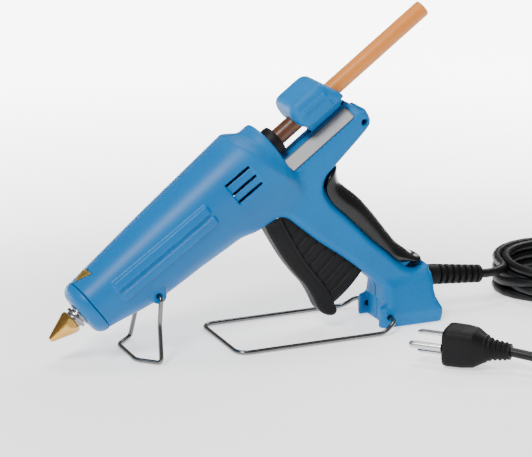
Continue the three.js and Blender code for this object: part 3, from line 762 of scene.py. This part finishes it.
bodyOutline = axisPoints([
    (140, -24), (146, -33), (154, -35), (160, -36), (165.5, -38.5), (168.2, -43), (169.4, -48), (171.5, -57),
    (175.5, -73), (181.5, -92), (186.8, -112),
]) + [
    (224.0, 31.6), (229.2, 26.8), (231.4, 21.0), (231.4, -8.0), (262.0, -8.0), (266.0, 14.0), (266.7, 20.0),
    (266.6, 26.0), (265.4, 34.0), (264.3, 38.2), (262.6, 39.8), (260.6, 38.4), (257.6, 36.6), (253.6, 36.2),
] + axisPoints(padSeat + [
    (229, -36.4), (241.5, -34.6), (245, -34.0), (248.6, -33.2), (251.4, -31), (252.8, -27.8), (252.4, -24.2),
    (251.2, -21.2), (210, -20.4), (186, -20.4), (178, -10), (150, -10),
])

handleCore = axisPoints([
    (190, -46), (190, -60), (194, -90), (199, -118), (212, -130.5), (218, -131), (213.6, -114),
    (212.8, -88), (211.6, -66), (206.5, -52), (203, -46),
])

baseOutline = [
    (231.2, 30.0), (231.2, 16.4), (230.2, 15.2), (227.4, 14.2), (226.1, 13.0), (225.7, 0.0), (225.7, -12.0),
    (271.0, -12.0), (271.6, 0.0), (272.4, 5.0), (271.9, 9.0), (269.8, 12.6), (267.6, 17.0), (266.7, 21.5),
    (266.6, 26.5), (265.4, 32.0),
]


def roundBarrel(s, y, n, inset):
    # radius table along the axis, deeper below it, dropping to the hump radius past a slanting shoulder
    table = np.array(housing["radius"], dtype=float)
    fine = np.arange(20.0, 205.0, 0.5)
    eased = np.pad(np.interp(fine, table[:, 0], table[:, 1]), 12, mode="edge")
    radius = np.interp(s, fine, np.convolve(eased, np.ones(25) / 25, mode="valid"))
    shoulder = 168.5 + 0.3 * (26.0 - np.clip(n, -24.0, 26.0))
    radius = radius - (radius - housing["hump"]) * ramp(s, shoulder, shoulder + 10.0)
    up = np.where(n < 0, n / np.interp(s, *housing["depth"]), n)
    return away(y, up) - (radius - inset)


def labelAxes(side, n):
    # distance out of the rail's sloping face, and distance down along it
    outX, outZ = housing["railFace"]
    across, up = side - housing["railHalf"], n - housing["railTop"]
    return outX * across + outZ * up, outZ * across - outX * up


def polar(x, z):
    # distance from the trigger's pivot, and degrees round it
    px, pz = housing["pivot"]
    return away(x, z, (px, pz)), np.degrees(np.arctan2(z - pz, x - px))


def sector(reach, angle, upper, lower):
    # negative between an upper edge that changes with the reach and a lower one
    turn = math.degrees(1.0)
    return np.maximum((angle - upper) * reach / turn, (lower - angle) * reach / turn)


def outerShape(x, y, z, s, n):
    side = np.abs(y)
    barrel = roundBarrel(s, y, n, 0.0)
    for bottom, top in housing["ribs"]:
        barrel = barrel - housing["ribHeight"] * band(s, 51.9, 129.1, 0.5) * band(n, bottom, top, 0.4)
    front, back, bottom, top = housing["ventPanel"]
    barrel = barrel + housing["ventDepth"] * band(s, front, back, 0.3) * band(n, bottom, top, 0.3)
    barrel = smoothMax(barrel, s - housing["end"], 3.0)
    barrel = np.maximum(barrel, housing["start"] - s)
    outline = smoothLine(bodyOutline, 150, closed=True)[:-1]
    body = slab(housing["edge"], outlineDistance(x, z, outline), side - housing["halfWidth"])
    shape = smoothMin(barrel, body, 9.0)
    # rail: narrow on top, its label face sloping out to the body's side
    rail = common(n - housing["railTop"], labelAxes(side, n)[0], side - 13.6, -27.0 - n)
    ends = between(s, 170.0, 247.6 - 0.22 * (n - housing["railTop"]))
    shape = np.minimum(shape, smoothMax(rail, ends, 0.8))
    # core inside the grip pad
    shape = np.minimum(shape, slab(1.0, outlineDistance(x, z, handleCore), side - 9.6))
    # base: widest at a crease above the floor, a lip round the stand's hinge
    half = np.interp(z, *housing["baseHalf"])
    shape = smoothMin(shape, slab(4.2, outlineDistance(x, z, baseOutline), side - half), 4.0)
    # bosses for the front bail, with a flat cheek
    boss = slab(0.9, away(x, z, housing["bailPivot"]) - 5.3, side - 17.5)
    return np.maximum(smoothMin(shape, boss, 2.5), -z)


def hollows(x, y, z, s, n):
    side = np.abs(y)
    inside = common(roundBarrel(s, y, n, housing["wall"]), s - 184.5, -21.5 - n)
    mouth = np.maximum(away(y, n) - 16.5, between(s, 30.0, 46.0))
    bore = np.maximum(away(y, n) - housing["bore"], between(s, 180.0, 195.0))
    # trigger slot, with room for the hub and the crank
    reach, angle = polar(x, z)
    upper = np.interp(reach, [11.5, 18.0, 27.0, 42.0, 81.8], [2.0, -3.0, -9.6, -14.2, -16.3])
    slot = common(sector(reach, angle, upper, -84.0), reach - housing["slotReach"], side - 8.0)
    hub = np.maximum(reach - 11.5, side - 8.0)
    crank = slab(0.0, s - 172.0, side - 3.4, common(146.0 - s, -40.0 - n, n + 14.3))
    cut = smoothMin(joined(inside, mouth, bore), joined(slot, hub, crank), 0.5)
    # channel of the drive bar and the slot for its web
    channel = common(side - 2.9, between(s, 140.0, 246.0), between(n, -20.2, -14.3))
    web = common(side - 1.9, between(s, 216.2, 246.0), between(n, -16.0, -8.0))
    vents = [common(np.abs(n - middle) - 0.8, between(s, 147.2, 166.8), 14.0 - side)
             for middle in housing["vents"]]
    # hanging hole, hinge holes, cord hole, stand notch
    hang = away(x, z, housing["lug"]) - 2.3
    bail = np.maximum(away(x, z, housing["bailPivot"]) - 1.75, 10.0 - side)
    stand = np.maximum(away(x, z, housing["standPivot"]) - 1.9, 13.4 - side)
    bootX, bootZ = boot["place"]
    cord = np.maximum(away(y, z - bootZ + (x - bootX) * math.tan(boot["slope"])) - 7.5, 258.0 - x)
    notch = slab(1.0, np.abs(x - 222.0) - 9.2, side - 14.4, np.abs(z - 6.0) - 10.0)
    cut = joined(cut, channel, web, *vents, hang, bail, stand, cord, notch)
    # counterbores of the screws, on the right side only
    for screw in housing["screws"]:
        apart = away(x, z, screw)
        cut = joined(cut, np.maximum(apart - 3.3, 10.4 - y), np.maximum(apart - 1.8, -9.5 - y))
    # fine panel line along the lower edge of the label face
    out, down = labelAxes(side, n)
    line = common(np.abs(down - 11.9) - 0.35, np.abs(out) - 0.8, between(s, 185.0, 250.0))
    # seats of the label and of the badge
    plate = slab(0.1, np.abs(s - label["along"]) - 28.9, np.abs(down - 5.75) - 5.2, np.abs(out) - 0.6)
    front, back, half = badge["front"] - 0.7, badge["back"] + 0.35, badge["half"] + 0.5
    seat = outlineDistance(s, side, [(front, -9.0), (front, 0.0), (back, half), (back, -9.0)])
    seat = common(seat, 12.0 - n, -roundBarrel(s, y, n, 0.75))
    return joined(cut, line, np.maximum(plate, y), seat)


def housingField(x, y, z):
    s = x * cosTilt + (z - gun["tipZ"]) * sinTilt
    n = -x * sinTilt + (z - gun["tipZ"]) * cosTilt
    return smoothMax(outerShape(x, y, z, s, n), -hollows(x, y, z, s, n), 0.5)


def leftHalf(x, y, z):
    return np.maximum(housingField(x, y, z), y + housing["seam"])


def rightHalf(x, y, z):
    return np.maximum(housingField(x, y, z), housing["seam"] - y)


for name, field, low, high, node in (
        ("housingLeftShell", leftHalf, (10.0, -27.4, 0.0), (274.5, 0.0, 174.0), "housing_left"),
        ("housingRightShell", rightHalf, (10.0, 0.0, 0.0), (274.5, 27.4, 174.0), "housing_right")):
    finished(solidPiece(name, field, low, high, housing["step"]), node)

carriage = {
    "outline": [(210.7, 3.0), (210.6, 10.0), (211.8, 14.2), (215.4, 16.5), (234.8, 16.5), (238.8, 14.8),
                (241.3, 10.0), (244.4, 2.6), (246.6, -3.2), (216.4, -3.2), (212.6, -1.2)],
    "saddle": [(215.6, -1.0), (216.6, -8.2), (243.8, -8.2), (246.0, -1.0)],
    "keel": [(216.4, -7.0), (217.0, -11.9), (243.2, -11.9), (244.0, -7.0)],
    "halfWidth": 16.0,
    "ribs": ((6.2, 9.6), (-1.0, 2.4)),
    "bore": 6.1,
    "step": 0.55,
}


def carriageField(s, y, n):
    # rounded block on a saddle and keel, two ribs on each side, its bore flared at both ends
    side = np.abs(y)
    across = outlineDistance(s, n, softened(carriage["outline"], 3.0, 5, closed=True))
    outside = side - carriage["halfWidth"]
    for bottom, top in carriage["ribs"]:
        outside = outside - 0.9 * band(s, 216.9, 236.6, 0.4) * band(n, bottom, top, 0.4)
    shape = slab(np.interp(n, [-3.2, 0.0, 8.0], [2.0, 3.5, 6.0]), across, outside)
    saddle = slab(0.8, outlineDistance(s, n, carriage["saddle"]), side - 8.6)
    keel = slab(0.3, outlineDistance(s, n, carriage["keel"]), side - 4.6)
    shape = np.minimum(smoothMin(shape, saddle, 2.5), keel)
    bore = away(y, n) - carriage["bore"] - 1.6 * ramp(np.abs(s - 226.0), 14.5, 20.0)
    jaw = slab(0.0, np.abs(s - 227.0) - 8.0, side - 5.0, np.abs(n - 7.25) - 4.25)
    web = slab(0.0, np.abs(s - 230.5) - 8.8, side - 1.9, np.abs(n + 10.5) - 2.5)
    return smoothMax(shape, -joined(bore, jaw, web), 0.5)


finished(solidPiece("carriageShell", carriageField, (209, -17.5, -12.5), (248, 17.5, 17.5), carriage["step"],
                    fromAxis), "feed_carriage")

pad = {
    "back": axisPoints([
        (217.4, -40.6), (213.6, -45.6), (212.0, -51), (213.2, -58.5), (214.9, -65), (216.4, -73.5),
        (217.3, -87), (217.7, -103.6), (218.2, -113.6), (220.2, -121.8),
    ]) + [(254.6, 46.3), (258.6, 45.4), (261.4, 43.2), (261.9, 40.4), (260.2, 38.4)],
    "seat": [(257.4, 37.0), (253.6, 36.6)] + axisPoints([
        (211.35, -129), (208.95, -121), (207.35, -110.4), (204.05, -96.7), (202.05, -83), (200.05, -69.5),
        (197.75, -57.6), (198.25, -49.3), (200.65, -44.3), (205.95, -40.3), (212.95, -38.8),
    ]),
    "core": axisPoints([
        (190, -45.6), (190, -60), (193.6, -90), (198.6, -118), (211.6, -130.9), (219.4, -132.2),
        (214.2, -114), (213.4, -88), (212.2, -66), (207.1, -52), (203.4, -45.6),
    ]),
    "farFront": [(150.0, 40.0), (150.0, 120.0)],  # closes the back line well in front of the handle
    "halfWidth": 14.5,
    "step": 0.6,
}


def padField(x, y, z):
    # swells round the handle's core, its back rounded over to the sides
    side = np.abs(y) - pad["halfWidth"]
    across = outlineDistance(x, z, smoothLine(pad["back"] + pad["seat"], 120, closed=True)[:-1])
    back = outlineDistance(x, z, smoothLine(pad["back"], 60).tolist() + pad["farFront"])
    shape = smoothMax(np.maximum(across, side), smoothMax(back, side, 14.0), 1.0)
    core = np.maximum(outlineDistance(x, z, pad["core"]), np.abs(y) - 10.3)
    return smoothMax(shape, -core, 0.3)


finished(solidPiece("gripPadMoulding", padField, (186, -14.6, 36), (264, 14.6, 116), pad["step"]), "grip_pad")

trigger = {
    "lever": [
        (146.2, 82.0), (148.4, 73.5), (153.6, 63.9), (161.2, 51.4), (169.5, 40.3), (176.7, 31.8),
        (181.9, 22.8), (185.4, 15.3), (189.8, 10.9), (195.4, 9.2), (198.8, 10.6), (199.2, 14.0),
        (195.0, 22.2), (190.9, 28.9), (184.2, 37.1), (175.4, 48.2), (168.2, 59.7), (160.9, 73.2),
        (157.2, 80.3),
    ],
    "rear": [(157.6, 80.3), (161.2, 73.2), (168.4, 59.7), (175.6, 48.2), (184.4, 37.1), (190.6, 28.4),
             (194.6, 21.0), (197.2, 14.0)],
    "radius": 80.6,
    "ribPitch": 8.4,
    "pinRadius": 2.3,
    "hubRadius": 7.0,
    "crank": axisPoints([(160.2, -36.0), (165.8, -36.0), (164.6, -19.5), (161.4, -19.5)]),
    "crankTip": axisPoints([(163.0, -18.0)])[0],
    "step": 0.6,
}


def lineDistance(u, v, line):
    # distance from points (u, v) to an open line
    parts = []
    for (ax, ay), (bx, by) in zip(line[:-1], line[1:]):
        dx, dy = bx - ax, by - ay
        t = np.clip(((u - ax) * dx + (v - ay) * dy) / (dx * dx + dy * dy), 0.0, 1.0)
        parts.append(away(u - t * dx, v - t * dy, (ax, ay)))
    return joined(*parts)


def triggerField(x, y, z):
    # smooth lever with a bead behind it, ribbed sector, hub and crank
    side = np.abs(y)
    reach, angle = polar(x, z)
    outline = smoothLine(trigger["lever"], 110, closed=True)[:-1]
    lever = slab(2.6, outlineDistance(x, z, outline), side - 7.3)
    upper = np.interp(reach, [7.0, 15.0, 24.0, 38.0, 81.0], [-14.0, -23.0, -28.6, -32.6, -34.6])
    wedge = np.maximum(sector(reach, angle, upper, -57.0), reach - trigger["radius"])
    wave = np.cos(reach * 2 * math.pi / trigger["ribPitch"])
    ribbing = 0.9 * ramp(wave, -0.75, -0.3) * ramp(reach, 20.0, 23.0)
    shape = np.minimum(lever, slab(0.7, wedge, side - 5.7 - ribbing))
    bead = away(lineDistance(x, z, trigger["rear"]), np.maximum(side - 6.3, 0.0)) - 1.05
    shape = smoothMin(shape, bead, 0.6)
    hub = np.maximum(reach - trigger["hubRadius"], between(y, -7.4, 4.6))
    shape = smoothMin(shape, hub, 1.0)
    crank = np.minimum(outlineDistance(x, z, trigger["crank"]), away(x, z, trigger["crankTip"]) - 2.0)
    shape = np.minimum(shape, np.maximum(crank, side - 2.2))
    pinHole = np.maximum(reach - trigger["pinRadius"], side - 10.0)
    springSeat = np.maximum(reach - trigger["hubRadius"] - 0.6, 4.6 - y)
    return common(shape, -pinHole, -springSeat)


finished(solidPiece("triggerMoulding", triggerField, (145, -7.8, 8), (220, 7.8, 101), trigger["step"]),
         "trigger")

# (along the barrel axis, radius) outlines, each with how far its corners are eased
profiles = {
    "noseCap": (0.9, [
        (25.3, 8.7), (25.2, 11.4), (25.5, 13.8), (26.4, 15.9), (28.0, 17.6), (30.2, 18.8), (32.6, 19.3),
        (33.7, 19.3), (34.0, 19.0), (34.0, 16.6), (30.8, 15.2), (29, 12.6), (29, 8.7)]),
    "valveBody": (0.15, [
        (19.7, 3), (19.7, 6.0), (21.0, 6.0), (21.2, 7.5), (22.0, 7.7), (22.9, 7.7), (23.2, 7.4), (23.2, 5.5),
        (24.2, 5.5), (24.2, 7.5), (24.6, 7.8), (25.4, 7.8), (25.7, 7.5), (25.7, 6.1), (39.6, 6.1),
        (39.6, 1.8), (36.4, 1.8), (35.4, 3)]),
    "inletSleeve": (0.5, [
        (111, 6.3), (111, 8.1), (189.3, 8.1), (189.3, 9.6), (189.8, 10.1), (194.4, 10.1), (195.8, 9.7),
        (196.5, 8.8), (196.5, 7.0), (195.9, 6.3)]),
    "stick": (0.3, [
        (70.0, 0.0), (70.0, 5.1), (70.6, 5.7), (120.0, 5.72), (160.0, 5.69), (200.0, 5.72), (240.0, 5.69),
        (280.0, 5.72), (326.0, 5.7), (326.8, 5.35), (326.8, 4.2), (326.6, 0.0)]),
}


def turnedPiece(name, which, closed=True, sharp=35):
    reach, profile = profiles[which]
    points, faces = turned(softened(profile, reach, 3, closed), 128, closed)
    return meshObject(name, fromAxis(points), faces, sharp)


finished(turnedPiece("noseCapShell", "noseCap"), "nose_cap")
finished(turnedPiece("valveBodyTurned", "valveBody"), "valve_body", paint="turnedSteel")
finished(turnedPiece("inletSleeveMoulding", "inletSleeve"), "inlet_sleeve", "black_plastic")
finished(turnedPiece("stickMoulding", "stick", closed=False, sharp=None), "glue_stick")

nozzle = {
    "cone": [(0.0, 0.6, 17.6, 18.5, 19.4), (1.35, 1.95, 8.3, 8.1, 6.9)],
    "flat": 6.93,  # from the axis to the middle of each flat
    "blend": 0.12,
    "turn": math.radians(12),
}


def makeNozzle():
    # the radius is the smaller of a cone's and a hexagon's at each angle
    columns = 240
    s = np.concatenate([[0.0, 0.0, 0.12, 0.35], np.linspace(0.6, 17.6, 90), np.linspace(17.8, 19.4, 12),
                        [19.4, 19.4]])
    cone = np.interp(s, *nozzle["cone"])[:, None]
    cone[0] = 0.8
    angle = ringAngles(columns)
    hexagon = nozzle["flat"] / np.cos((angle + nozzle["turn"]) % (math.pi / 3) - math.pi / 6)
    radius = -nozzle["blend"] * np.logaddexp(-cone / nozzle["blend"], -hexagon / nozzle["blend"])
    radius[-1] = 3.0
    along = np.repeat(s[:, None], columns, axis=1)
    points, faces = closedRows(np.stack([along, -radius * np.sin(angle), radius * np.cos(angle)], axis=-1))
    return finished(meshObject("nozzleTurned", fromAxis(points), faces, 25), "nozzle")


def makeBadge():
    # a triangle on the top of the barrel, arched to it, with an eased rim round a sunk middle
    along = np.linspace(0.0, 1.0, 40)[:, None]
    across = np.linspace(-1.0, 1.0, 60)[None, :]
    s = badge["front"] + (badge["back"] - badge["front"]) * along + 0 * across
    y = badge["half"] * (along * 0.97 + 0.03) * across
    inward = np.minimum(badge["back"] - s, badge["half"] * (along + 0.03) - np.abs(y))
    rim = np.minimum(inward / 0.5, 1.0)
    base = np.interp(s, [34.3, 46.0, 70.0], [19.0, 19.8, 21.3])
    top = base + 0.38 - 0.25 * (1 - np.clip(rim, 0, 1)) ** 2
    top = top - 0.22 * ramp(rim, 0.98, 1.0) * ramp(inward, 0.9, 1.3)
    upper, lower = [np.stack([s, y, np.sqrt(r ** 2 - y ** 2)], axis=-1) for r in (top, base - 0.5)]
    ring = np.concatenate([upper, lower[:, ::-1]], axis=1)
    points, faces = closedRows(ring[:, ::-1])
    return finished(meshObject("badgePlate", fromAxis(points), faces, 40), "badge")


def makeLabel():
    # flat plate with rounded corners on the rail's sloping face: rings out from the middle, over the rim
    angle = ringAngles(160)
    c, w = np.cos(angle), np.sin(angle)
    size = roundedSquare(c, w, 14)
    scale = [0.02, 0.25, 0.5, 0.75, 0.9, 0.965, 0.985, 0.985, 1.0, 1.0, 0.9, 0.02]
    height = [0.28, 0.28, 0.28, 0.28, 0.28, 0.28, 0.32, 0.32, 0.2, -0.5, -0.5, -0.5]
    long, short = label["half"]
    outX, outZ = housing["railFace"]
    rows = []
    for k, h in zip(scale, height):
        less = (1 - k) * short
        halfLong, halfShort = (long - less, short - less) if k > 0.3 else (long * k, short * k)
        t = size * w * halfShort
        rows.append(np.stack([label["along"] + size * c * halfLong, -(9.7 + outZ * t + outX * h),
                              label["up"] - outX * t + outZ * h], axis=-1))
    points, faces = closedRows(np.array(rows))
    return finished(meshObject("labelPlate", fromAxis(points), faces, 40), "label_plate")


makeNozzle()
makeBadge()
makeLabel()

# each stand: a half path, and how far the bend at each of its corners reaches
wires = {
    "rearStandWire": {"node": "rear_stand", "bend": [0, 4, 5, 6, 9], "half": [
        (231.6, -14.2, 7.6), (231.6, -26.6, 7.6), (228.6, -30.4, 6.2), (221.6, -32.3, 1.6),
        (117.1, -32.3, 1.5), (117.1, 0.0, 1.5)]},
    "frontBailWire": {"node": "front_bail", "bend": [0, 3, 3.5, 3.5, 4], "half": [
        (68.5, -11.8, 42.3), (68.5, -20.6, 42.3), (66.9, -21.4, 24.6), (64.9, -29.4, 1.6),
        (52.1, -16.4, 1.5), (52.1, 0.0, 1.5)]},
}
wireRadius = 1.5


def bentWire(half, bend):
    # the half path and its mirror image, with an eased corner at each bend and a point every few millimetres
    p = np.array(half + [(x, -y, z) for x, y, z in half[-2::-1]])
    bend = bend + [0] + bend[-1:0:-1] + [0]
    out = [p[:1]]
    for i in range(1, len(p) - 1):
        shorter = min(np.linalg.norm(p[i] - p[i - 1]), np.linalg.norm(p[i] - p[i + 1]))
        if bend[i] > 0:
            out.append(corner(p[i - 1], p[i], p[i + 1], min(bend[i], 0.48 * shorter), 0.48, 13))
    out.append(p[-1:])
    line = np.concatenate(out)
    run = runAlong(line)
    want = [np.linspace(a, b, max(2, int((b - a) / 3.0)), endpoint=False) for a, b in zip(run[:-1], run[1:])]
    return alongLine(line, run, np.concatenate(want + [run[-1:]]))


for name, wire in wires.items():
    path = bentWire(wire["half"], wire["bend"])
    path[:, 2] = np.maximum(path[:, 2], wireRadius)
    thick = np.full(len(path), wireRadius)
    thick[[0, -1]] = 0.8 * wireRadius
    points, faces = tube(path, thick, 28)
    finished(meshObject(name, points, faces, 50), wire["node"])
print("pieces made")

# the CAD pieces that stay take their finish
for node, obj in frame["nodes"].items():
    paint = paints[slotOf[node]]
    if not obj.material_slots:
        obj.data.materials.append(paint)
    for materialSlot in obj.material_slots:
        materialSlot.material = paint

stage = {
    "half": 30.0,
    "drop": -0.0004,
    "glow": 7.0,
    "world": 0.25,
    "lamps": {  # place, what it points at, size, watts
        "keyLight": ((-0.9, -0.75, 1.35), (-0.02, 0.0, 0.08), 0.45, 30.0),
        "topLight": ((0.2, 0.25, 1.5), (0.0, 0.0, 0.05), 0.5, 12.0),
        "rimLight": ((0.9, 0.7, 0.9), (0.05, 0.0, 0.08), 0.5, 7.0),
    },
}


def makeFloor():
    # a pale sheet that glows as painted light, most strongly far behind the object, and only dimly near it as
    # a painted soft shadow
    half, z = stage["half"], stage["drop"]
    mesh = bpy.data.meshes.new("floor")
    corners = [(-half, -half, z), (half, -half, z), (half, half, z), (-half, half, z)]
    mesh.from_pydata(corners, [], [(0, 1, 2, 3)])
    floor = bpy.data.objects.new("floor", mesh)
    bpy.context.scene.collection.objects.link(floor)
    paint = Paint("paleFloor", Roughness=0.6)
    paint.feed("Base Color", paint.mix(paint.noise(3.0, 3.0, 0.5), (0.86, 0.86, 0.86), (0.88, 0.88, 0.88)))
    x, y, z = paint.axes()
    far = (((x * x + y * y) ** 0.5 - 150.0) / 650.0).clipped()
    behind = ((y + 50.0) / 350.0).clipped()
    # painted light and painted shadow: the floor's glow is dim near the object and brightest far behind it
    paint.feed("Emission Color", paint.mix(far * behind, (0.14, 0.14, 0.14), (1.0, 1.0, 1.0)))
    paint.shader.inputs["Emission Strength"].default_value = stage["glow"]
    mesh.materials.append(paint.material)


def makeLights():
    world = bpy.data.worlds.new("studio")
    bpy.context.scene.world = world
    world.use_nodes = True
    background = world.node_tree.nodes["Background"]
    background.inputs["Color"].default_value = (1.0, 1.0, 1.0, 1.0)
    background.inputs["Strength"].default_value = stage["world"]
    for name, (place, aim, size, power) in stage["lamps"].items():
        lamp = bpy.data.lights.new(name, "AREA")
        lamp.size = size
        lamp.energy = power
        obj = bpy.data.objects.new(name, lamp)
        bpy.context.scene.collection.objects.link(obj)
        obj.location = place
        way = np.array(aim) - np.array(place)
        flat = math.hypot(way[0], way[1])
        obj.rotation_euler = (math.atan2(flat, -way[2]), 0.0, math.atan2(-way[0], way[1]))


makeFloor()
makeLights()
bpy.context.view_layer.update()
print("scene made")
